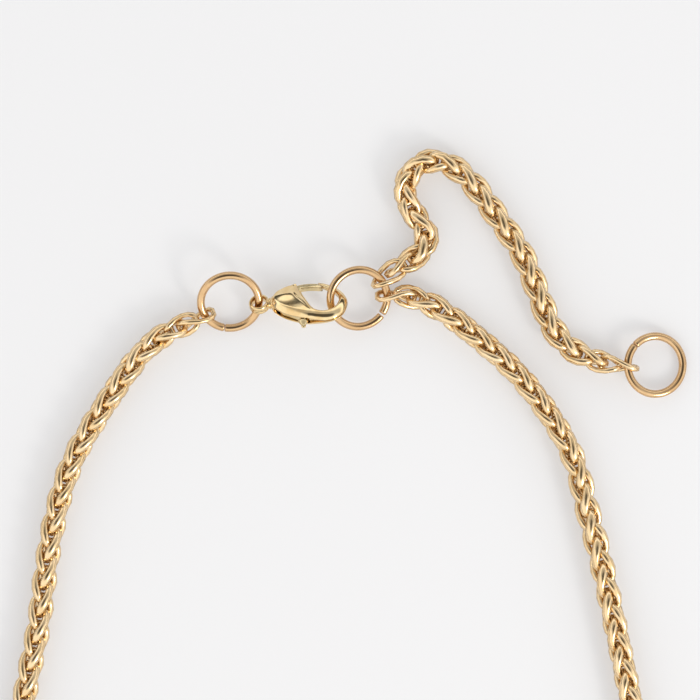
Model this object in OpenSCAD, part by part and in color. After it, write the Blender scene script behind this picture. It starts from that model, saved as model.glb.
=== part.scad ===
/* [Chain] */
// Thickness of the wire that the links are bent from
link_wire = 0.84; // [0.8:0.02:0.88]
// Distance from one link to the next, along the chain
link_pitch = 2.1; // [2.08:0.01:2.14]
// Full width of the woven chain, over the wire
chain_w = 4; // [3.9:0.05:4]
// How far a link twists each way between its middle and its ends, in degrees. Links are twisted
// to the left and to the right in turn
link_twist = 42; // [40:1:44]

/* [Rings] */
// Outer diameter of the three plain rings
ring_od = 10; // [9.8:0.05:10.1]
// Thickness of the ring wire
ring_wire = 1.2; // [1:0.05:1.2]
// Width of the seam where a ring's ends meet
ring_seam = 0.1; // [0.05:0.01:0.3]

/* [Clasp] */
// Length of the clasp from the middle of its eye to the nose of the hook
clasp_len = 13.5; // [13.4:0.05:13.55]
// Width of the clasp body across the spine and the gate
clasp_w = 7.4; // [7.3:0.05:7.45]
// Thickness of the clasp body at its thickest
clasp_t = 3.3; // [3.2:0.05:3.35]
// Thickness of the lever, which works in a slot of the body
lever_t = 0.9; // [0.8:0.05:1]
// Diameter of the pin that the lever turns on
pin_d = 1; // [0.9:0.05:1.1]
// How far the clasp lies rolled over towards its gate side, in degrees
clasp_roll = 40; // [38:1:42]

/* [Hidden] */
$fn = 48;

// Height of the chain's middle line where it lies on the surface
z0 = chain_w / 2;

// Middle line of the neck chain, from the tip of its left end link round to the right one
neck_route = [
    [-19.85, 63.05, 1.95], [-24.5, 61, z0], [-27.5, 59.5, z0], [-31, 56.5, z0], [-35, 51, z0],
    [-38.5, 45.5, z0], [-41, 41, z0], [-43, 35.5, z0], [-44.5, 29, z0], [-45.5, 22.5, z0],
    [-46.5, 15, z0], [-48, 7.5, z0], [-49.5, -1, z0], [-50, -11, z0], [-50, -21, z0],
    [-49, -31, z0], [-47, -41, z0], [-44, -51, z0], [-39, -61, z0], [-32, -70, z0],
    [-23, -78.5, z0], [-13, -84, z0], [-2.5, -85.5, z0], [8, -84, z0], [18, -78.5, z0],
    [27, -70, z0], [34, -61, z0], [39, -51, z0], [42, -41, z0], [44, -31, z0],
    [45, -21, z0], [45, -11, z0], [44.5, -1, z0], [43, 7, z0], [41, 16.5, z0],
    [39, 25.5, z0], [37, 33, z0], [35, 40.5, z0], [31.5, 47, z0], [26.5, 53.5, z0],
    [20.5, 59, z0], [14.5, 63.5, z0], [9.5, 65.5, 1.95], [5, 65.5, 1.8]];

// Middle line of the extender, from the catch ring to the end ring
extender_route = [
    [4.5, 67, 2.4], [7, 69, 2.2], [9.5, 70.5, z0], [12, 72.5, z0], [12.5, 75, z0],
    [11, 77.5, z0], [9.5, 80, z0], [9.5, 83, z0], [11.5, 85.5, z0], [14.5, 86, z0],
    [17.5, 84.5, z0], [20, 82, z0], [24, 76.5, z0], [27, 72, z0], [29.5, 66, z0],
    [31.5, 61, z0], [34.5, 57.5, z0], [39, 55.5, 2.1], [44.5, 54.5, 2.5]];

// Turn of the extender about its own line, in degrees, against the length run
extender_roll = [[0, 148], [4, 148], [40, 238], [48, 250], [74, 243]];

// Links
link_r = (chain_w - 1.05) / 2;
link_half = 1.25 * link_pitch;
end_reach = link_half + 0.45;
link_sections = 16;
wire_sides = 6;
tube_sides = 10;
tube_rings = 72;

function unit(v) = v / norm(v);
function spline_at(a, b, c, d, t) = 0.5 * (2 * b + (c - a) * t
    + (2 * a - 5 * b + 4 * c - d) * t * t + (3 * b - a - 3 * c + d) * t * t * t);
function spline(p, steps = 12) = let (
    n = len(p),
    q = concat([2 * p[0] - p[1]], p, [2 * p[n - 1] - p[n - 2]]))
    concat([for (i = [1:n - 1]) for (k = [0:steps - 1])
        spline_at(q[i - 1], q[i], q[i + 1], q[i + 2], k / steps)], [p[n - 1]]);
function run_lengths(p) = [for (i = 0, s = 0; i < len(p);
    s = s + (i + 1 < len(p) ? norm(p[i + 1] - p[i]) : 0), i = i + 1) s];
function route_table(p) = let (c = spline(p), s = run_lengths(c))
    [for (axis = [0:2]) [for (i = [0:len(c) - 1]) [s[i], c[i][axis]]]];
function route_length(tab) = tab[0][len(tab[0]) - 1][0];
function route_at(tab, s) = [for (axis = [0:2]) lookup(s, tab[axis])];
function route_frame(tab, s) = let (
    t = unit(route_at(tab, s + 1) - route_at(tab, s - 1)),
    n = unit(cross([0, 0, 1], t)))
    [t, n, cross(t, n)];

function signed_pow(v, e) = sign(v) * pow(abs(v), e);
// Point on the middle of a link's wire: run s, turn about the chain's line, hand of the twist,
// reach each way, and place a round the oval
function wire_at(tab, s, turn, hand, half, a) = let (
    rise = signed_pow(sin(a), 0.9),
    z = rise * (rise < 0 ? half[0] : half[1]),
    out = link_r * signed_pow(cos(a), 0.8),
    f = route_frame(tab, s + z),
    phi = turn + hand * link_twist * rise)
    route_at(tab, s + z) + out * (cos(phi) * f[1] + sin(phi) * f[2]);
function wire_side(tab, s, turn, hand, half, a) = let (
    rise = signed_pow(sin(a), 0.9),
    f = route_frame(tab, s + rise * (rise < 0 ? half[0] : half[1])),
    phi = turn + hand * link_twist * rise)
    cos(phi) * f[2] - sin(phi) * f[1];
function wire_ring(tab, s, turn, hand, half, a) = let (
    p = wire_at(tab, s, turn, hand, half, a),
    t = unit(wire_at(tab, s, turn, hand, half, a + 4) - wire_at(tab, s, turn, hand, half, a - 4)),
    m = wire_side(tab, s, turn, hand, half, a),
    u = unit(m - (m * t) * t),
    v = cross(t, u))
    [for (k = [0:wire_sides - 1]) let (b = 360 * k / wire_sides)
        p + link_wire / 2 * (cos(b) * u + sin(b) * v)];

function band_faces(rings, sides, closed) = [
    for (i = [0:(closed ? rings - 1 : rings - 2)]) for (k = [0:sides - 1]) let (
        j = (i + 1) % rings,
        n = (k + 1) % sides)
        each [[i * sides + k, j * sides + k, j * sides + n],
            [i * sides + k, j * sides + n, i * sides + n]]];

module link(tab, s, turn, hand, half) {
    polyhedron(
        points = [for (i = [0:link_sections - 1])
            each wire_ring(tab, s, turn, hand, half, 360 * (i + 0.5) / link_sections)],
        faces = band_faces(link_sections, wire_sides, true));
}

module chain_tube(tab, s_start, s_end) {
    span = s_end - s_start;
    radii = [for (i = [0:tube_rings - 1])
        i == 0 || i == tube_rings - 1 ? 0.7 * z0 : z0 - 0.05];
    polyhedron(
        points = [for (i = [0:tube_rings - 1]) let (
            s = s_start + span * i / (tube_rings - 1),
            f = route_frame(tab, s))
            each [for (k = [0:tube_sides - 1]) let (b = 360 * k / tube_sides)
                route_at(tab, s) + radii[i] * (cos(b) * f[1] + sin(b) * f[2])]],
        faces = concat(band_faces(tube_rings, tube_sides, false),
            [[for (k = [0:tube_sides - 1]) k]],
            [[for (k = [tube_sides - 1:-1:0]) (tube_rings - 1) * tube_sides + k]]));
}

neck_tab = route_table(neck_route);
neck_len = route_length(neck_tab);
extender_tab = route_table(extender_route);
extender_len = route_length(extender_tab);
extender_links = round((extender_len - 2 * end_reach) / link_pitch) + 1;
extender_step = (extender_len - 2 * end_reach) / (extender_links - 1);

module neck_chain() {
    color("goldenrod") union() {
        chain_tube(neck_tab, end_reach, neck_len - end_reach);
        link(neck_tab, end_reach, 84, 1, [end_reach, link_half]);
        link(neck_tab, neck_len - end_reach, 95, -1, [link_half, end_reach]);
    }
}

module extender_chain() {
    color("goldenrod") for (k = [0:extender_links - 1]) {
        s = end_reach + k * extender_step;
        link(extender_tab, s, lookup(s, extender_roll) + 90 * (k % 2), 1 - 2 * (k % 2),
            [k == 0 ? end_reach : link_half, k == extender_links - 1 ? end_reach : link_half]);
    }
}

// Rings: middle point, then rise towards +X and towards +Y, then the seam's bearing
clasp_ring_at = [-17.3, 64.6, 2.65];
clasp_ring_rise = [-0.09, 0.5];
catch_ring_at = [2.25, 65.15, 2.45];
catch_ring_rise = [-0.2, 0.22];
end_ring_at = [47.4, 55, 1.5];
end_ring_rise = [-0.2, 0];
module plain_ring(at, rise, seam_bearing) {
    translate(at)
        tilted(rise)
            rotate([0, 0, seam_bearing + asin(ring_seam / ring_od)])
                rotate_extrude(angle = 360 - 2 * asin(ring_seam / ring_od))
                    translate([(ring_od - ring_wire) / 2, 0]) circle(d = ring_wire);
}

// Tilts its children so that a flat thing rises by the given amounts for each unit along X and Y
module tilted(rise) {
    steep = atan(norm(rise));
    bearing = atan2(rise[1], rise[0]);
    rotate([0, 0, bearing]) rotate([0, -steep, 0]) rotate([0, 0, -bearing]) children();
}

module clasp_ring() {
    color("peru") plain_ring(clasp_ring_at, clasp_ring_rise, 260);
}

module catch_ring() {
    color("peru") plain_ring(catch_ring_at, catch_ring_rise, 326);
}

module end_ring() {
    color("peru") plain_ring(end_ring_at, end_ring_rise, 137);
}

// Clasp: middle of the eye, and how the body lies; its own frame has x from the eye to the nose,
// y towards the gate and z through its thickness
clasp_eye = [-12.85, 64.25, 2.2];
clasp_pitch = 6.5;
clasp_bearing = 3.5;
eye_od = 3.1;
eye_hole = 2;
eye_t = 1.2;
gate_r = 7.7;
gate_bearing = 232.2;
spine_r = 11.9;
nose_r = (clasp_w - gate_r * (1 + sin(gate_bearing))) / (1 - sin(gate_bearing));
nose_at = [clasp_len - nose_r, -0.95];
gate_at = nose_at + (gate_r - nose_r) * [cos(gate_bearing), sin(gate_bearing)];
spine_at = nose_at + [0, spine_r - nose_r];
wall_t = 1.2;
flank = 0.7;
dome_run = 36;
dome_r = 9.6;
mouth_at = [9.9, -0.35];
mouth_r = 2.27;
arm_at = [9.3, 1.15];
arm_r = 1.4;
pivot = [4.6, 0];
slot_w = lever_t + 0.16;

module clasp_place() {
    translate(clasp_eye) rotate([-clasp_roll, -clasp_pitch, clasp_bearing]) children();
}

// A disc with an upright rim, drawn in towards both faces
module drawn_disc(at, r) {
    rise = (clasp_t - wall_t) / 2;
    translate([at[0], at[1], 0]) {
        cylinder(r = r, h = wall_t, center = true, $fn = 240);
        for (side = [0, 1]) mirror([0, 0, side]) translate([0, 0, wall_t / 2])
            cylinder(r1 = r, r2 = r - flank, h = rise, $fn = 240);
    }
}

module clasp_block() {
    intersection() {
        drawn_disc(gate_at, gate_r);
        drawn_disc(spine_at, spine_r);
        linear_extrude(6, center = true)
            polygon([nose_at, [nose_at[0], -6], [1.25, -6], [1.25, 6],
                nose_at - 9 * [cos(gate_bearing), sin(gate_bearing)]]);
    }
    drawn_disc(nose_at, nose_r);
}

module dome() {
    translate([5.5, -1.5, clasp_t / 2 - dome_run])
        rotate([90, 0, 0]) rotate([0, 0, 75]) rotate_extrude(angle = 30, $fn = 240)
            translate([dome_run - dome_r, 0]) circle(r = dome_r, $fn = 120);
}

module clasp_mouth() {
    translate(mouth_at) circle(r = mouth_r);
    translate(arm_at) circle(r = arm_r);
    polygon([mouth_at, [11.2, 1.5], [10.1, 2.28], arm_at]);
    polygon([mouth_at, [8.05, -1.65], [7.25, -0.25], [6.5, 1.1], [5.75, 2.45], [5.3, 5],
        [7, 5], [9.45, 2.55], arm_at]);
}

module mouth_flare(at, r) {
    for (side = [0, 1]) mirror([0, 0, side]) translate([at[0], at[1], 0.3])
        cylinder(r1 = r, r2 = r + 1.8, h = 1.8);
}

module lever_slot() {
    polygon([[2.2, -5.5], [7.5, -5.5], [7.5, -1.6], [8.6, -0.2], [8.6, 2.4], [6.4, 4.8],
        [5.1, 4.8], [5.1, 3.1], [3.4, 0.9], [2.75, -0.4], [2.2, -1]]);
}

module clasp_body() {
    color("palegoldenrod") clasp_place() difference() {
        union() {
            intersection() {
                clasp_block();
                dome();
                mirror([0, 0, 1]) dome();
            }
            translate([1.2, -0.55, -eye_t / 2]) cube([1.6, 1.1, eye_t]);
            rotate_extrude() intersection() {
                translate([eye_hole / 2 + 0.95, 0]) circle(r = 0.95);
                translate([0.5, -eye_t / 2]) square([eye_od / 2 - 0.5, eye_t]);
            }
        }
        linear_extrude(6, center = true) clasp_mouth();
        mouth_flare(mouth_at + [0.15, 0.1], mouth_r);
        mouth_flare(arm_at, arm_r);
        linear_extrude(slot_w, center = true) lever_slot();
        translate([pivot[0], pivot[1], -3]) cylinder(d = pin_d + 0.04, h = 6);
    }
}

module lever_outline() {
    translate(pivot) circle(r = 1.2);
    polygon([[3.8, 0.8], [5.45, 2.7], [6.3, 2.6], [6.3, 1.4], [5.75, 0.3], [4.6, 0]]);
    polygon([[4.6, 0], [3.5, -0.55], [3.15, -1.1], [3.1, -1.9], [3.6, -2.5], [5.3, -3.6],
        [6.5, -4.2], [7.4, -4.2], [7.2, -3], [5.6, -0.6]]);
    intersection() {
        difference() {
            translate(gate_at) circle(r = gate_r - 0.08, $fn = 240);
            translate(gate_at) circle(r = gate_r - 0.85, $fn = 240);
        }
        polygon([[5.5, 2.2], [5.5, 4.5], [7.35, 4.5], [9.65, 2.2]]);
    }
}

module clasp_lever() {
    color("khaki") clasp_place() difference() {
        union() {
            linear_extrude(lever_t, center = true) lever_outline();
            translate([7, -3.95, 0]) rotate([90, 0, 0]) cylinder(r1 = 0.4, r2 = 0.6, h = 1.15);
        }
        translate([pivot[0], pivot[1], -3]) cylinder(d = pin_d + 0.1, h = 6);
    }
}

module clasp_pin() {
    color("darkkhaki") clasp_place()
        translate([pivot[0], pivot[1], -1.3]) cylinder(d = pin_d, h = 2.6);
}

neck_chain();
extender_chain();
clasp_ring();
catch_ring();
end_ring();
clasp_body();
clasp_lever();
clasp_pin();
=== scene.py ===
"""A woven gold-coloured chain necklace, laid in an open loop and closed by a lobster clasp."""

import math

import bpy
import numpy as np
from mathutils import Euler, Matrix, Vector
from mathutils.geometry import tessellate_polygon


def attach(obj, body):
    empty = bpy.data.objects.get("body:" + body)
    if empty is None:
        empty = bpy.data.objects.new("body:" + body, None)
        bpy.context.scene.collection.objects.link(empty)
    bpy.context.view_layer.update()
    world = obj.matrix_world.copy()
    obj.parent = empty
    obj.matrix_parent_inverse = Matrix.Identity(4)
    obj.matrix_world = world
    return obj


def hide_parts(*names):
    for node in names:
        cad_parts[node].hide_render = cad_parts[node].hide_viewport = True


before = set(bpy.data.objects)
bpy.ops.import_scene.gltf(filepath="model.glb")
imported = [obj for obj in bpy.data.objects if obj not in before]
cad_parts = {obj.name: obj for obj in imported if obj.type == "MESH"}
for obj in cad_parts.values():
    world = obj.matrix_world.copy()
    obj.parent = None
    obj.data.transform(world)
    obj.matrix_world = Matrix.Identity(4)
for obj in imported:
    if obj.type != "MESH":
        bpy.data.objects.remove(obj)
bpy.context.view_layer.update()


# The view
# The photograph looks straight down on the back of the necklace, from above the table. Its frame
# is 106.4 mm wide at the height of the chain's middle.
VIEW_MIDDLE = (0.00091, 0.0573, 0.002)
VIEW_WIDTH = 0.1064
view_data = bpy.data.cameras.new("view")
view_data.lens = 100.0
view_data.sensor_width = 36.0
view_data.clip_start = 0.01
view = bpy.data.objects.new("view", view_data)
view_height = VIEW_WIDTH * view_data.lens / view_data.sensor_width
view.location = (VIEW_MIDDLE[0], VIEW_MIDDLE[1], VIEW_MIDDLE[2] + view_height)
bpy.context.scene.collection.objects.link(view)
bpy.context.scene.camera = view
bpy.context.scene.view_settings.view_transform = "Standard"


# The neck chain
# A wheat chain: oval links of brass wire, twisted like propellers to the left and to the right in
# turn, each threaded through the two before it, and plated in a warm satin gold. The first link
# holds the clasp's ring and the last one the catch ring.
CHAIN_Z = 0.002
NECK_ROUTE = (
    (-0.01985, 0.06305, 0.00195), (-0.0245, 0.061, CHAIN_Z), (-0.0275, 0.0595, CHAIN_Z),
    (-0.031, 0.0565, CHAIN_Z), (-0.035, 0.051, CHAIN_Z), (-0.0385, 0.0455, CHAIN_Z),
    (-0.041, 0.041, CHAIN_Z), (-0.043, 0.0355, CHAIN_Z), (-0.0445, 0.029, CHAIN_Z),
    (-0.0455, 0.0225, CHAIN_Z), (-0.0465, 0.015, CHAIN_Z), (-0.048, 0.0075, CHAIN_Z),
    (-0.0495, -0.001, CHAIN_Z), (-0.05, -0.011, CHAIN_Z), (-0.05, -0.021, CHAIN_Z),
    (-0.049, -0.031, CHAIN_Z), (-0.047, -0.041, CHAIN_Z), (-0.044, -0.051, CHAIN_Z),
    (-0.039, -0.061, CHAIN_Z), (-0.032, -0.07, CHAIN_Z), (-0.023, -0.0785, CHAIN_Z),
    (-0.013, -0.084, CHAIN_Z), (-0.0025, -0.0855, CHAIN_Z), (0.008, -0.084, CHAIN_Z),
    (0.018, -0.0785, CHAIN_Z), (0.027, -0.07, CHAIN_Z), (0.034, -0.061, CHAIN_Z),
    (0.039, -0.051, CHAIN_Z), (0.042, -0.041, CHAIN_Z), (0.044, -0.031, CHAIN_Z),
    (0.045, -0.021, CHAIN_Z), (0.045, -0.011, CHAIN_Z), (0.0445, -0.001, CHAIN_Z),
    (0.043, 0.007, CHAIN_Z), (0.041, 0.0165, CHAIN_Z), (0.039, 0.0255, CHAIN_Z),
    (0.037, 0.033, CHAIN_Z), (0.035, 0.0405, CHAIN_Z), (0.0315, 0.047, CHAIN_Z),
    (0.0265, 0.0535, CHAIN_Z), (0.0205, 0.059, CHAIN_Z), (0.0145, 0.0635, CHAIN_Z),
    (0.0095, 0.0655, 0.00195), (0.005, 0.0655, 0.0018))
# Turn of the weave about the chain's own line, in degrees, against the length run in metres
NECK_ROLL = ((0.003, 80), (0.014, 30), (0.018, 36), (0.024, 46), (0.036, 51), (0.054, 57),
             (0.066, 54), (0.306, 46), (0.318, 62), (0.324, 78), (0.330, 103), (0.336, 125),
             (0.348, 125), (0.358, 130), (0.371, 178))
LINK_PITCH = 0.0021
LINK_RADIUS = 0.001475
LINK_TWIST = 44.0
# The wire is pressed wide along a link's sides and stays round at its ends. The two links at each
# end of a chain are plain round wire, a little thinner, which leaves the rings free. The pressing
# comes in between the two links named, counted from 0 at either end
SIDE_WIDTH = 0.0015
SIDE_THICKNESS = 0.00108
END_WIRE = 0.001
LAST_WIRE = 0.00085
PRESSED_BETWEEN = (1, 3)
# Half a link's length, and the longer reach of the end links towards their rings
LINK_HALF = 1.25 * LINK_PITCH
LINK_REACH = LINK_HALF + 0.00055
LINK_SECTIONS = 16
LINK_SIDES = 6
ROUTE_STEPS = 12


class Route:
    """A smooth line through given points, followed by the length run along it."""

    def __init__(self, points):
        """Catmull-Rom curve: each span is a cubic that leaves and meets its points along the
        line through their neighbours."""
        p = np.array(points)
        q = np.vstack([2 * p[:1] - p[1:2], p, 2 * p[-1:] - p[-2:-1]])
        t = (np.arange(ROUTE_STEPS) / ROUTE_STEPS)[None, :, None]
        a, b, c, d = (q[i:len(q) - 3 + i, None, :] for i in range(4))
        spans = 0.5 * (2 * b + (c - a) * t + (2 * a - 5 * b + 4 * c - d) * t**2
                       + (3 * b - a - 3 * c + d) * t**3)
        self.line = np.vstack([spans.reshape(-1, p.shape[1]), p[-1:]])
        step_lengths = np.linalg.norm(np.diff(self.line, axis=0), axis=1)
        self.run = np.concatenate([[0.0], np.cumsum(step_lengths)])
        self.length = self.run[-1]

    def at(self, s):
        """Points at the run lengths s."""
        return np.stack([np.interp(s, self.run, column) for column in self.line.T], -1)

    def sides(self, s):
        """Level and upright directions across the line, from its course over 1 mm each way."""
        along = unit(self.at(s + 0.001) - self.at(s - 0.001))
        level = unit(np.cross(np.array([0.0, 0.0, 1.0]), along))
        return level, np.cross(along, level)


def unit(v):
    """Vectors of length one."""
    return v / np.linalg.norm(v, axis=-1, keepdims=True)


def signed_power(v, e):
    """The power of the size, with the sign kept."""
    return np.sign(v) * np.abs(v) ** e


def woven_links(route, roll_table):
    """Wire surfaces of all the links, as an array of links, stations round the oval and points
    round the wire. A link's middle line is an oval, out = R cos^0.8, along = H sin^0.9, whose
    plane turns about the chain's line in step with the distance along it. The wire is an ellipse
    across, and the pressing grows as cos^1.5 towards the middle of each side."""
    count = int(round((route.length - 2 * LINK_REACH) / LINK_PITCH)) + 1
    k = np.arange(count)
    s = LINK_REACH + k * (route.length - 2 * LINK_REACH) / (count - 1)
    roll_at, roll = zip(*roll_table)
    turn = np.interp(s, roll_at, roll) + 90.0 * (k % 2)
    hand = np.where(k % 2 == 0, 1.0, -1.0)[:, None]
    back = np.where(k == 0, LINK_REACH, LINK_HALF)[:, None]
    ahead = np.where(k == count - 1, LINK_REACH, LINK_HALF)[:, None]
    a = 2 * np.pi * (np.arange(LINK_SECTIONS) + 0.5) / LINK_SECTIONS
    rise = np.broadcast_to(signed_power(np.sin(a), 0.9), (count, LINK_SECTIONS))
    out = LINK_RADIUS * signed_power(np.cos(a), 0.8)[None, :, None]
    here = s[:, None] + rise * np.where(rise < 0, back, ahead)
    phi = np.radians(turn[:, None] + hand * LINK_TWIST * rise)[..., None]
    level, upright = route.sides(here)
    centre = route.at(here) + out * (np.cos(phi) * level + np.sin(phi) * upright)
    along = unit(np.roll(centre, -1, axis=1) - np.roll(centre, 1, axis=1))
    across = np.cos(phi) * upright - np.sin(phi) * level
    u = unit(across - (across * along).sum(-1, keepdims=True) * along)
    v = np.cross(along, u)
    from_end = np.minimum(k, count - 1 - k)
    pressed = np.interp(from_end, PRESSED_BETWEEN, (0.0, 1.0))[:, None]
    side = pressed * np.abs(np.cos(a)) ** 1.5
    round_wire = LAST_WIRE + (END_WIRE - LAST_WIRE) * pressed
    width = (round_wire + (SIDE_WIDTH - END_WIRE) * side)[..., None, None]
    thickness = (round_wire + (SIDE_THICKNESS - END_WIRE) * side)[..., None, None]
    b = (2 * np.pi * np.arange(LINK_SIDES) / LINK_SIDES)[None, None, :, None]
    return centre[:, :, None] + (width / 2 * np.cos(b) * u[:, :, None]
                                 + thickness / 2 * np.sin(b) * v[:, :, None])


def tube_faces(stations, sides, closed, first=0):
    """Four-sided faces over a grid of stations and sides, joined round the sides, and round the
    stations too where closed."""
    i = np.arange(stations if closed else stations - 1)[:, None]
    j = np.arange(sides)[None, :]
    i2, j2 = (i + 1) % stations, (j + 1) % sides
    quads = np.stack([i * sides + j, i * sides + j2, i2 * sides + j2, i2 * sides + j], -1)
    return first + quads.reshape(-1, 4)


def make_piece(name, points, faces, finish, body="necklace"):
    """Makes a smooth mesh piece from points and faces and puts it on its body."""
    mesh = bpy.data.meshes.new(name)
    mesh.from_pydata(np.asarray(points).reshape(-1, 3).tolist(), [],
                     [list(face) for face in faces])
    mesh.polygons.foreach_set("use_smooth", np.ones(len(mesh.polygons), bool))
    mesh.materials.append(finish)
    mesh.update()
    piece = bpy.data.objects.new(name, mesh)
    bpy.context.scene.collection.objects.link(piece)
    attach(piece, body)
    return piece


class Value:
    """An output of a shader node. Arithmetic on values adds Math nodes."""

    def __init__(self, tree, socket):
        self.tree = tree
        self.socket = socket

    def node(self, kind, settings=None, inputs=None, output=0):
        """Adds a node of any kind: its settings first, then the values or links it takes in."""
        made = self.tree.nodes.new(kind)
        for key, setting in (settings or {}).items():
            if key == "stops":
                ramp = made.color_ramp.elements
                for stop, (place, colour) in enumerate(setting):
                    mark = ramp[stop] if stop < 2 else ramp.new(place)
                    mark.position = place
                    mark.color = colour
            else:
                setattr(made, key, setting)
        for key, given in (inputs or {}).items():
            if isinstance(given, Value):
                self.tree.links.new(given.socket, made.inputs[key])
            else:
                made.inputs[key].default_value = given
        return Value(self.tree, made.outputs[output])

    def arithmetic(self, operation, first, second):
        """A Math node on two values or numbers."""
        return self.node("ShaderNodeMath", {"operation": operation}, {0: first, 1: second})

    def __add__(self, other):
        return self.arithmetic("ADD", self, other)

    __radd__ = __add__

    def __sub__(self, other):
        return self.arithmetic("SUBTRACT", self, other)

    def __rsub__(self, other):
        return self.arithmetic("SUBTRACT", other, self)

    def __mul__(self, other):
        return self.arithmetic("MULTIPLY", self, other)

    __rmul__ = __mul__


def plated_metal(name, deep, bright, roughness, grain, bump):
    """Gold-plated brass. The plate's colour drifts between a deep and a bright tone over a few
    millimetres, and a fine grain raises the surface a few microns. Both make the polish vary by up
    to 0.4 of the roughness given, which stays its average."""
    material = bpy.data.materials.new(name)
    material.use_nodes = True
    tree = material.node_tree
    shader = tree.nodes["Principled BSDF"]
    place = Value(tree, tree.nodes.new("ShaderNodeTexCoord").outputs["Object"])
    drift = place.node("ShaderNodeTexNoise", None,
                       {"Vector": place, "Scale": 420.0, "Detail": 3.0, "Roughness": 0.6})
    fine = place.node("ShaderNodeTexNoise", None,
                      {"Vector": place, "Scale": grain, "Detail": 4.0, "Roughness": 0.65})
    tone = place.node("ShaderNodeMix", {"data_type": "RGBA"},
                      {0: drift * 1.6 - 0.3, 6: (*deep, 1.0), 7: (*bright, 1.0)}, 2)
    rough = drift * (0.35 * roughness) + fine * (0.5 * roughness) + 0.575 * roughness
    relief = place.node("ShaderNodeBump", None,
                        {"Strength": bump, "Distance": 0.00002, "Height": fine})
    tree.links.new(tone.socket, shader.inputs["Base Color"])
    tree.links.new(rough.socket, shader.inputs["Roughness"])
    tree.links.new(relief.socket, shader.inputs["Normal"])
    shader.inputs["Metallic"].default_value = 1.0
    return material


satin_gold = plated_metal("satin_gold", (0.76, 0.53, 0.26), (0.92, 0.71, 0.45),
                          0.21, 5200.0, 0.25)
neck_links = woven_links(Route(NECK_ROUTE), NECK_ROLL)
link_faces = tube_faces(LINK_SECTIONS, LINK_SIDES, True)


def all_link_faces(count):
    """The faces of one link, repeated for a whole chain."""
    steps = np.arange(count)[:, None, None] * (LINK_SECTIONS * LINK_SIDES)
    return (link_faces[None] + steps).reshape(-1, 4)


neck_chain = make_piece("neck_chain_links", neck_links, all_link_faces(len(neck_links)),
                        satin_gold)
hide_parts("neck_chain")


# The extender
# The same woven chain, 73 mm of it, hung from the catch ring so that the necklace can be worn
# longer. It lies in a loose bend, and its last link holds the end ring.
EXTENDER_ROUTE = (
    (0.0045, 0.067, 0.0024), (0.007, 0.069, 0.0022), (0.0095, 0.0705, CHAIN_Z),
    (0.012, 0.0725, CHAIN_Z), (0.0125, 0.075, CHAIN_Z), (0.011, 0.0775, CHAIN_Z),
    (0.0095, 0.08, CHAIN_Z), (0.0095, 0.083, CHAIN_Z), (0.0115, 0.0855, CHAIN_Z),
    (0.0145, 0.086, CHAIN_Z), (0.0175, 0.0845, CHAIN_Z), (0.02, 0.082, CHAIN_Z),
    (0.024, 0.0765, CHAIN_Z), (0.027, 0.072, CHAIN_Z), (0.0295, 0.066, CHAIN_Z),
    (0.0315, 0.061, CHAIN_Z), (0.0345, 0.0575, CHAIN_Z), (0.039, 0.0555, 0.0021),
    (0.0445, 0.0545, 0.0025))
EXTENDER_ROLL = ((0.003, 152), (0.018, 218), (0.024, 240), (0.034, 262), (0.055, 263),
                 (0.062, 252), (0.070, 242))
extender_links = woven_links(Route(EXTENDER_ROUTE), EXTENDER_ROLL)
extender = make_piece("extender_chain_links", extender_links,
                      all_link_faces(len(extender_links)), satin_gold)
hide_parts("extender_chain")


# The rings
# Three plain rings, each bent round from 1.2 mm wire with its cut ends brought together: one on
# the clasp's eye, one that the clasp closes on and one at the extender's free end. Their plate is
# a browner gold than the chain's.
RING_RADIUS = 0.0044
RING_WIRE = 0.0012
RING_STATIONS = 160
RING_SIDES = 24
# Share of the circle over which the cut ends bend apart, and of the wire's radius that their
# chamfer leaves
RING_EASE = 1 / 12
RING_CHAMFER = 0.86
# Middle, rise for each unit towards +X and +Y, the seam's bearing in degrees, and how far the
# ends stand apart, across the gap and upwards
RINGS = {
    "clasp_ring": ((-0.0173, 0.0646, 0.00265), (-0.09, 0.5), 260, 0.0001, 0.00003),
    "catch_ring": ((0.00225, 0.06515, 0.00245), (-0.2, 0.22), 326, 0.00028, 0.00022),
    "end_ring": ((0.0474, 0.055, 0.0015), (-0.2, 0.0), 137, 0.0001, 0.00004),
}


def bent_ring(middle, rise, seam, gap, lift):
    """A round wire carried along a circle from one cut end to the other. The wire's radius falls
    over the last station at each end, which leaves a small chamfer, and the ends stand a little
    apart across the ring's plane."""
    normal = unit(np.array([-rise[0], -rise[1], 1.0]))
    x_axis = unit(np.array([1.0, 0.0, rise[0]]))
    y_axis = np.cross(normal, x_axis)
    half_gap = np.arcsin(gap / 2 / RING_RADIUS)
    run = np.linspace(0.0, 1.0, RING_STATIONS)
    bearing = np.radians(seam) + half_gap + run * (2 * np.pi - 2 * half_gap)
    last = np.interp(run, (1 - RING_EASE, 1), (0.0, 1.0))
    first = np.interp(run, (0, RING_EASE), (1.0, 0.0))
    spread = lift / 2 * (last**2 - first**2)
    outward = np.cos(bearing)[:, None] * x_axis + np.sin(bearing)[:, None] * y_axis
    centre = np.array(middle) + RING_RADIUS * outward + spread[:, None] * normal
    radius = np.full(RING_STATIONS, RING_WIRE / 2)
    radius[[0, -1]] *= RING_CHAMFER
    a = 2 * np.pi * np.arange(RING_SIDES) / RING_SIDES
    return centre[:, None] + radius[:, None, None] * (
        np.cos(a)[None, :, None] * outward[:, None] + np.sin(a)[None, :, None] * normal)


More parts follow.
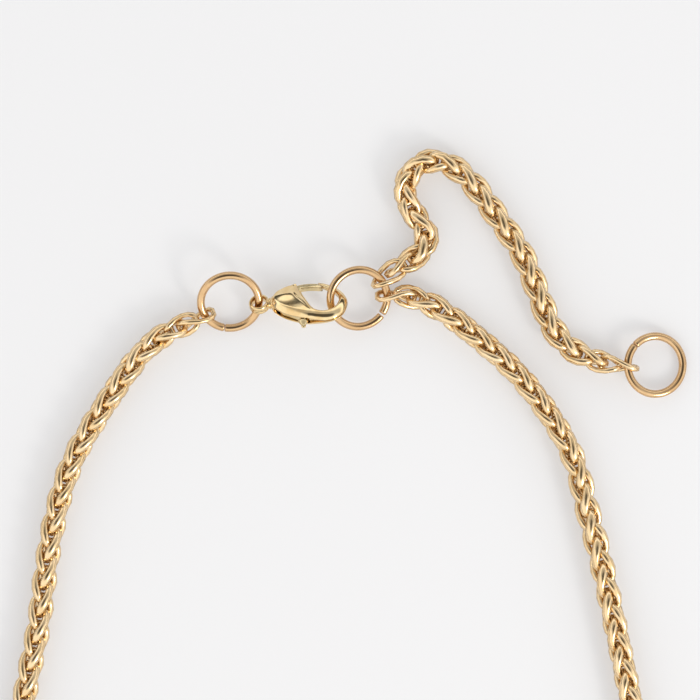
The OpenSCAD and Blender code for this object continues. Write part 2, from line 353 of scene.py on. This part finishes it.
ring_gold = plated_metal("ring_gold", (0.58, 0.355, 0.17), (0.75, 0.515, 0.285),
                         0.14, 3800.0, 0.1)
ring_faces = tube_faces(RING_STATIONS, RING_SIDES, False)[:, ::-1]
start_cap = np.arange(RING_SIDES)
end_cap = (RING_STATIONS - 1) * RING_SIDES + np.arange(RING_SIDES)[::-1]
for ring_name, ring in RINGS.items():
    wire = bent_ring(*ring)
    piece = make_piece(ring_name + "_wire", wire, list(ring_faces) + [start_cap, end_cap],
                       ring_gold)
    piece.data.polygons.foreach_set(
        "use_smooth", np.arange(len(piece.data.polygons)) < len(ring_faces))
    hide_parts(ring_name)


# The clasp
# A lobster claw, cast in one with its beaded neck and its eye and polished bright in a pale gold.
# Its two halves meet in a fine groove round the nose, and stand apart along the spine and at the
# mouth, where the lever swings between them.
MILLIMETRE = 0.001
CLASP_EYE = (-0.01285, 0.06425, 0.0022)
CLASP_TURN = (-40.0, -6.5, 3.5)
# From the hook's tip round the nose and the spine to the gate's seat, in millimetres of the claw's
# own frame: the outer edge's x and y, the inner edge's x and y, width and roundness of the outer
# flank, width of the inner rim, and 1 where the halves stand apart for the lever, at the outer and
# at the inner edge
CLAW = (
    (8.87, 3.28, 9.55, 2.5, 0.4, 1.0, 0.4, 0, 0),
    (10.0, 3.05, 10.1, 2.15, 0.5, 1.0, 0.5, 0, 0),
    (11.4, 2.3, 11.2, 1.5, 0.5, 1.0, 0.4, 0, 0),
    (12.55, 1.33, 11.95, 0.6, 0.6, 1.0, 0.4, 0, 0),
    (13.28, 0.15, 12.15, -0.1, 0.7, 1.0, 0.5, 0, 0),
    (13.5, -0.95, 12.15, -0.65, 0.8, 1.0, 0.55, 0, 0),
    (13.07, -2.57, 11.8, -1.6, 0.9, 1.0, 0.6, 0, 0),
    (11.9, -3.75, 11.1, -2.28, 0.9, 1.0, 0.6, 0, 0),
    (10.27, -4.2, 10.0, -2.62, 0.9, 1.0, 0.6, 0, 0),
    (8.4, -4.07, 8.9, -2.39, 0.95, 0.95, 0.6, 0.3, 0),
    (6.6, -3.72, 8.2, -1.84, 1.0, 0.7, 0.7, 1, 1),
    (5.0, -3.18, 7.6, -0.87, 0.95, 0.45, 0.8, 1, 1),
    (3.55, -2.42, 7.2, -0.15, 0.9, 0.3, 1.0, 1, 1),
    (2.3, -1.35, 6.9, 0.35, 0.8, 0.2, 1.2, 1, 1),
    (1.8, -0.1, 6.65, 0.83, 0.6, 0.3, 1.3, 0, 1),
    (2.1, 1.01, 6.4, 1.28, 0.9, 0.7, 1.4, 0, 1),
    (3.0, 1.77, 6.2, 1.65, 1.1, 0.9, 1.4, 0, 1),
    (4.2, 2.49, 6.0, 2.0, 1.1, 0.9, 1.2, 0, 1),
    (5.4, 2.94, 5.85, 2.3, 0.7, 0.9, 0.6, 1, 1),
)
CLAW_STATIONS = 220
CLAW_STEPS = 48
UNDERSIDE_STRIDE = 6
# Rows between which the halves are joined: from the hook's tip to the end of the spine, and
# round the lobe's outer edge
SPINE_LAST = 12.0
LOBE_FIRST = 13.8
LOBE_LAST = 17.0
# Half the room between the halves where they stand apart and at the seam, the share of the slot
# from which it is wide open, and the distances from the outer edge between which the slot's two
# columns blend
SLOT_HALF = 0.6
SEAM_HALF = 0.15
SLOT_OPEN = 0.6
SLOT_BLEND = (0.48, 0.88)
# Depth of the slot's cut into the spine at places along the claw, of the parting groove, and of
# the lobe's joined rim
SLOT_CUT = ((3.5, 5.0, 6.6), (3.1, 2.3, 1.3))
PARTING_DEPTH = 0.25
LIP_DEPTH = 0.5
# The face's greatest and least height, the middle of its crown, the divisor of its fall along the
# claw, and that of its fall across it at places along it
FACE_HEIGHT = 1.65
FACE_LEAST = 0.55
FACE_MIDDLE = (5.5, -1.5)
FALL_ALONG = 72.0
FALL_ACROSS = ((5.0, 9.0), (60.0, 18.0))
# The swell over the lobe: its middle, its reach along and across the claw, and its height
SWELL_MIDDLE = (4.1, 0.35)
SWELL_REACH = (1.7, 1.0)
SWELL_HEIGHT = 0.16
# The inner rim's roundness and the softness of the ridge that it makes with the outer flank, then
# the rim groove's depth, its width, and the places along the claw between which it fades out
RIM_ROUNDNESS = 0.8
RIDGE_SOFTNESS = 0.05
RIM_GROOVE = 0.08
RIM_GROOVE_WIDTH = 0.13
RIM_GROOVE_FADE = (6.0, 9.0)


def edge_rise(distance, width, roundness):
    """Share of the height gained at a distance from an edge: a straight slope, a quarter of an
    ellipse, or a blend of both."""
    t = np.clip(distance / width, 0.0, 1.0)
    return (1 - roundness) * t + roundness * np.sqrt(1 - (1 - t) ** 2)


def plate_loops(first, first_half, last, last_half):
    """Four corners for each station of a level plate between two lines, with its half thickness
    on each."""
    return np.hstack([np.dstack([first, first_half]), np.dstack([last, last_half]),
                      np.dstack([last, -last_half]), np.dstack([first, -first_half])])


def claw_loops():
    """The claw in four shells, as a loop of points for each station. The upper half's loop runs
    over the face from the outer edge to the inner one and back below it, the lower half mirrors
    it, and two plates join the halves: the spine's, cut back where the slot is, and the lobe's
    outer rim. The face's height falls with the square of the distance from its middle, faster
    across the claw than along it, and swells over the lobe like a bell curve. A narrow groove
    follows the rim."""
    line = Route(CLAW)
    rows = line.at(np.linspace(0, line.length, CLAW_STATIONS))[:, None]
    outer, inner = rows[..., 0:2], rows[..., 2:4]
    width, roundness, rim, slot_outside, slot_inside = (rows[..., i] for i in range(4, 9))
    span = np.linalg.norm(inner - outer, axis=-1)
    u = (1 - np.cos(np.linspace(0, np.pi, CLAW_STEPS)))[None] / 2
    place = outer + (inner - outer) * u[..., None]
    x, y = place[..., 0], place[..., 1]
    from_outer, from_inner = u * span, (1 - u) * span
    along, across = x - FACE_MIDDLE[0], y - FACE_MIDDLE[1]
    height = FACE_HEIGHT - along**2 / FALL_ALONG - across**2 / np.interp(x, *FALL_ACROSS)
    swell = np.exp(-((x - SWELL_MIDDLE[0]) / SWELL_REACH[0]) ** 2
                   - ((y - SWELL_MIDDLE[1]) / SWELL_REACH[1]) ** 2)
    height = np.maximum(height, FACE_LEAST) + SWELL_HEIGHT * swell
    inwards = np.interp(from_outer, SLOT_BLEND, (0.0, 1.0))
    slot = slot_outside + (slot_inside - slot_outside) * inwards
    wall = np.interp(slot, (0.0, SLOT_OPEN), (SEAM_HALF, SLOT_HALF))
    wall = np.minimum(wall, 0.5 * height)
    shares = np.stack([edge_rise(from_outer, width, roundness),
                       edge_rise(from_inner, rim, RIM_ROUNDNESS), np.ones_like(x)])
    share = -RIDGE_SOFTNESS * np.log(np.exp(-shares / RIDGE_SOFTNESS).sum(0))
    groove = RIM_GROOVE * np.exp(-((from_inner - rim) / RIM_GROOVE_WIDTH) ** 2)
    groove = groove * np.interp(x, RIM_GROOVE_FADE, (1.0, 0.0))
    face = np.dstack([x, y, wall + (height - wall) * np.clip(share, 0.0, 1.0) - groove])
    underside = np.dstack([x, y, wall])[:, -UNDERSIDE_STRIDE:0:-UNDERSIDE_STRIDE]
    upper = np.hstack([face, underside])
    row = np.interp(np.linspace(0, line.length, CLAW_STATIONS), line.run,
                    np.arange(len(line.run)) / ROUTE_STEPS)
    parting = PARTING_DEPTH * np.clip(row - 1, 0, 1)[:, None]
    cut = np.where(slot_outside > SLOT_OPEN, np.interp(outer[..., 0], *SLOT_CUT), parting)
    back = outer + (cut / span)[..., None] * (inner - outer)
    lip = outer + (LIP_DEPTH / span)[..., None] * (inner - outer)
    spine = plate_loops(back, wall[:, :1], inner, wall[:, -1:])[row < SPINE_LAST]
    rim_plate = plate_loops(outer, wall[:, :1], lip, wall[:, :1])[
        (row > LOBE_FIRST) & (row < LOBE_LAST)]
    return upper, upper * (1, 1, -1), spine, rim_plate


def clasp_place(points):
    """Carries points of the claw's own frame, in millimetres, to where the clasp lies."""
    turn = Euler([math.radians(angle) for angle in CLASP_TURN]).to_matrix()
    return np.array(CLASP_EYE) + MILLIMETRE * points @ np.array(turn).T


def turned(profile, count):
    """Loops of points from spinning a closed profile of radius and height about an axis."""
    a = 2 * np.pi * np.arange(count)[:, None] / count
    radius, height = np.array(profile).T
    return np.stack([radius * np.cos(a), radius * np.sin(a), height + 0 * a], -1)


def shell_faces(loops, first, outwards):
    """Faces of a closed shell: its skin and a cap at each end, turned over where the loops run
    the other way."""
    stations, sides = loops.shape[:2]
    skin = list(tube_faces(stations, sides, False, first))
    skin += [first + np.arange(sides)[::-1], first + (stations - 1) * sides + np.arange(sides)]
    return skin if outwards else [face[::-1] for face in skin]


clasp_gold = plated_metal("clasp_gold", (0.68, 0.45, 0.19), (0.95, 0.78, 0.48),
                          0.08, 1100.0, 0.3)
claw_points, claw_faces = np.empty((0, 3)), []
for loops, outwards in zip(claw_loops(), (True, False, True, True)):
    claw_faces += shell_faces(loops, len(claw_points), outwards)
    claw_points = np.vstack([claw_points, loops.reshape(-1, 3)])
claw_piece = make_piece("clasp_body_claw", clasp_place(claw_points), claw_faces, clasp_gold)
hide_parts("clasp_body")

# The eye's wire is a flattened round, with a groove all round its outside
EYE_RADIUS = 1.3
EYE_WIRE = (0.3, 0.7)
EYE_GROOVE = 0.16
EYE_STATIONS = 72
EYE_SIDES = 24
eye_angle = 2 * np.pi * np.arange(EYE_SIDES) / EYE_SIDES
eye_out = EYE_WIRE[0] * signed_power(np.cos(eye_angle), 0.8)
eye_height = EYE_WIRE[1] * signed_power(np.sin(eye_angle), 0.8)
eye_groove = np.where(eye_out > 0, EYE_GROOVE * np.exp(-(eye_height / EYE_GROOVE) ** 2), 0.0)
eye_profile = np.stack([EYE_RADIUS + eye_out - eye_groove, eye_height], -1)
eye_loops = turned(eye_profile, EYE_STATIONS)
eye_piece = make_piece("clasp_body_eye", clasp_place(eye_loops.reshape(-1, 3)),
                       tube_faces(EYE_STATIONS, EYE_SIDES, True)[:, ::-1], clasp_gold)
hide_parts("clasp_body")

# The neck's radius and its distance from the eye's middle
CLASP_NECK = ((0.0, 1.1), (0.6, 1.1), (0.82, 1.17), (0.88, 1.28), (0.82, 1.39), (0.66, 1.46),
              (0.84, 1.53), (0.92, 1.64), (0.86, 1.75), (0.72, 1.82), (1.0, 1.92),
              (1.1, 2.05), (1.05, 2.6), (0.0, 2.6))
NECK_STATIONS = 40
neck_loops = turned(CLASP_NECK, NECK_STATIONS)[..., (2, 0, 1)]
neck_piece = make_piece("clasp_body_neck", clasp_place(neck_loops.reshape(-1, 3)),
                        tube_faces(NECK_STATIONS, len(CLASP_NECK), True)[:, ::-1],
                        clasp_gold)
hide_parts("clasp_body")

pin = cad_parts["clasp_pin"]
pin.data.materials.clear()
pin.data.materials.append(clasp_gold)


# The lever
# Stamped from sheet with its edges rounded, it turns on the pin inside the lobe. Its upper end is
# a milled plate that closes the mouth, and a drop-shaped tab at its lower end takes the thumbnail.
# All its sizes are in millimetres of the claw's own frame.

# Half its thickness, the radius of its edges and the points round a quarter of an edge, then the
# bore for the pin
LEVER_HALF = 0.45
LEVER_EDGE = 0.1
EDGE_POINTS = 5
BORE_PLACE = (4.6, 0.0)
BORE_RADIUS = 0.55
BORE_SIDES = 32
# The gate's two edges are arcs about one middle: radius, and bearings from straight up in degrees
GATE_MIDDLE = (7.53, -4.48)
GATE_LOWER = (6.85, -10.3, 12.8)
GATE_UPPER = (7.62, 9.7, -14.4)
GATE_TIP = (9.6, 2.25)
ARC_POINTS = 24
# The rest of the outline: from the tab's root up to the gate, and from the gate down to the tab
TAIL_EDGE = ((7.3, -3.75), (7.15, -3.0), (5.8, -0.6), (5.75, 0.3), (6.3, 1.4))
HEAD_EDGE = ((5.5, 2.75), (3.8, 0.9), (3.42, 0.2), (3.5, -0.55), (3.2, -1.1), (3.25, -1.75),
             (3.8, -2.25), (5.4, -3.05), (6.4, -3.55))
# The tab: radius against the distance from its root, its root, its thickness for each unit of its
# width, and how far it leans for each unit of its length
TAB = ((0.0, 0.0), (0.72, 0.0), (0.82, 0.1), (0.8, 0.22), (0.6, 0.55), (0.4, 0.88), (0.3, 1.06),
       (0.36, 1.18), (0.3, 1.34), (0.0, 1.4))
TAB_ROOT = (6.85, -3.8, 0.0)
TAB_THICKNESS = 0.6
TAB_LEAN = 0.12
TAB_STATIONS = 32


def gate_arc(radius, first, last):
    """Points on a circle about the gate's middle, by their bearing from straight up."""
    a = np.radians(np.linspace(first, last, ARC_POINTS))[:, None]
    return np.array(GATE_MIDDLE) + radius * np.hstack([np.sin(a), np.cos(a)])


def loops_at(outline, heights):
    """An outline in the plane, or one for each height, as a loop of points at each height."""
    outlines = np.broadcast_to(outline, (len(heights), *np.shape(outline)[-2:]))
    level = np.broadcast_to(np.reshape(heights, (-1, 1, 1)), (*outlines.shape[:2], 1))
    return np.concatenate([outlines, level], -1)


lever_edge = np.vstack([TAIL_EDGE, gate_arc(*GATE_LOWER), [GATE_TIP], gate_arc(*GATE_UPPER),
                        HEAD_EDGE])
edge_along = np.roll(lever_edge, -1, axis=0) - np.roll(lever_edge, 1, axis=0)
edge_out = unit(np.stack([edge_along[:, 1], -edge_along[:, 0]], -1))
quarter = np.linspace(0, np.pi / 2, EDGE_POINTS)
upper_rim = LEVER_HALF - LEVER_EDGE + LEVER_EDGE * np.sin(quarter[::-1])
insets = LEVER_EDGE * (1 - np.cos(np.concatenate([quarter[::-1], quarter])))
lever_loops = loops_at(lever_edge - insets[:, None, None] * edge_out,
                       np.concatenate([upper_rim, -upper_rim[::-1]]))
bore_angle = 2 * np.pi * np.arange(BORE_SIDES) / BORE_SIDES
bore = np.array(BORE_PLACE) + BORE_RADIUS * np.stack([np.cos(bore_angle), np.sin(bore_angle)], -1)
bore_loops = loops_at(bore, (LEVER_HALF, -LEVER_HALF))
tab_loops = turned(TAB, TAB_STATIONS)[..., (0, 2, 1)] * (1.0, -1.0, TAB_THICKNESS) + TAB_ROOT
tab_loops[..., 0] += TAB_LEAN * (TAB_ROOT[1] - tab_loops[..., 1])
edge_count = len(lever_edge)
bore_first = len(lever_loops) * edge_count
tab_first = bore_first + 2 * BORE_SIDES
lever_points = np.vstack([loops.reshape(-1, 3) for loops in (lever_loops, bore_loops, tab_loops)])
# Each cheek is the outline with the bore cut out of it. The low cheek uses the last loops' points
cheek = np.array(tessellate_polygon([[Vector((*place, 0.0)) for place in ring]
                                     for ring in (lever_loops[0, :, :2], bore)]))
on_edge = cheek < edge_count
top_cheek = np.where(on_edge, cheek, cheek - edge_count + bore_first)
low_cheek = top_cheek + np.where(on_edge, bore_first - edge_count, BORE_SIDES)
lever_faces = [*tube_faces(len(lever_loops), edge_count, False)[:, ::-1],
               *top_cheek, *low_cheek[:, ::-1],
               *tube_faces(2, BORE_SIDES, False, bore_first),
               *tube_faces(TAB_STATIONS, len(TAB), True, tab_first)[:, ::-1]]
milled_gold = plated_metal("milled_gold", (0.60, 0.48, 0.26), (0.84, 0.68, 0.40),
                           0.22, 4200.0, 0.6)
lever_piece = make_piece("clasp_lever_plate", clasp_place(lever_points), lever_faces,
                         milled_gold, "lever")
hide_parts("clasp_lever")


# The table and the light
# A pale, plain table top, lit a little from below so that shadows stay light, under a white room:
# one soft lamp at the lower right, a dark ceiling that shows as a line in the top of the round
# wires, and walls that are dark low down, further up at the back than in front.
def glowing_surface(name, colour, glow, roughness):
    """A matt surface of one pale colour, lit evenly from below as well."""
    material = bpy.data.materials.new(name)
    material.use_nodes = True
    shader = material.node_tree.nodes["Principled BSDF"]
    shader.inputs["Base Color"].default_value = (*colour, 1.0)
    shader.inputs["Emission Color"].default_value = (*glow, 1.0)
    shader.inputs["Emission Strength"].default_value = 1.0
    shader.inputs["Roughness"].default_value = roughness
    return material


TABLE_HALF = 1.5
table_mesh = bpy.data.meshes.new("table")
table_mesh.from_pydata([(-TABLE_HALF, -TABLE_HALF, 0), (TABLE_HALF, -TABLE_HALF, 0),
                        (TABLE_HALF, TABLE_HALF, 0), (-TABLE_HALF, TABLE_HALF, 0)],
                       [], [(0, 1, 2, 3)])
table_mesh.materials.append(glowing_surface("table_top", (0.58, 0.575, 0.57),
                                            (0.33, 0.332, 0.342), 0.8))
table = bpy.data.objects.new("table", table_mesh)
bpy.context.scene.collection.objects.link(table)


def soft_lamp(name, place, size, power, colour):
    """A square lamp that faces the middle of the view."""
    data = bpy.data.lights.new(name, "AREA")
    data.size = size
    data.energy = power
    data.color = colour
    lamp = bpy.data.objects.new(name, data)
    lamp.location = place
    aim = Vector(VIEW_MIDDLE) - Vector(place)
    lamp.rotation_euler = aim.to_track_quat("-Z", "Y").to_euler()
    bpy.context.scene.collection.objects.link(lamp)


soft_lamp("key_lamp", (0.5, -0.42, 0.42), 0.2, 1.6, (1.0, 0.98, 0.95))

room = bpy.data.worlds.new("room")
room.use_nodes = True
bpy.context.scene.world = room
sky = room.node_tree.nodes["Background"]
direction = Value(room.node_tree, room.node_tree.nodes.new("ShaderNodeTexCoord")
                  .outputs["Generated"])
height = direction.node("ShaderNodeSeparateXYZ", None, {0: direction}, 2)
depth = direction.node("ShaderNodeSeparateXYZ", None, {0: direction}, 1)


def grey_ramp(levels):
    """Brightness of the room against the sine of the height above the table."""
    stops = [(place, (level, level, level, 1.0)) for place, level in levels]
    return height.node("ShaderNodeValToRGB", {"stops": [stops[0], stops[-1], *stops[1:-1]]},
                       {0: height})


near_side = grey_ramp(((0.0, 0.12), (0.06, 0.18), (0.14, 1.15), (0.84, 1.15), (0.93, 0.12),
                       (1.0, 0.08)))
far_side = grey_ramp(((0.0, 0.08), (0.15, 0.1), (0.23, 1.3), (0.42, 1.3), (0.62, 0.55),
                      (0.86, 0.55), (0.93, 0.12), (1.0, 0.08)))
# Overhead, the near side of the room gives way to the far side
ceiling = direction.node("ShaderNodeMix", {"data_type": "RGBA", "clamp_factor": True},
                         {0: depth * 4.0 + 0.5, 6: near_side, 7: far_side}, 2)
room.node_tree.links.new(ceiling.socket, sky.inputs["Color"])
sky.inputs["Strength"].default_value = 1.1
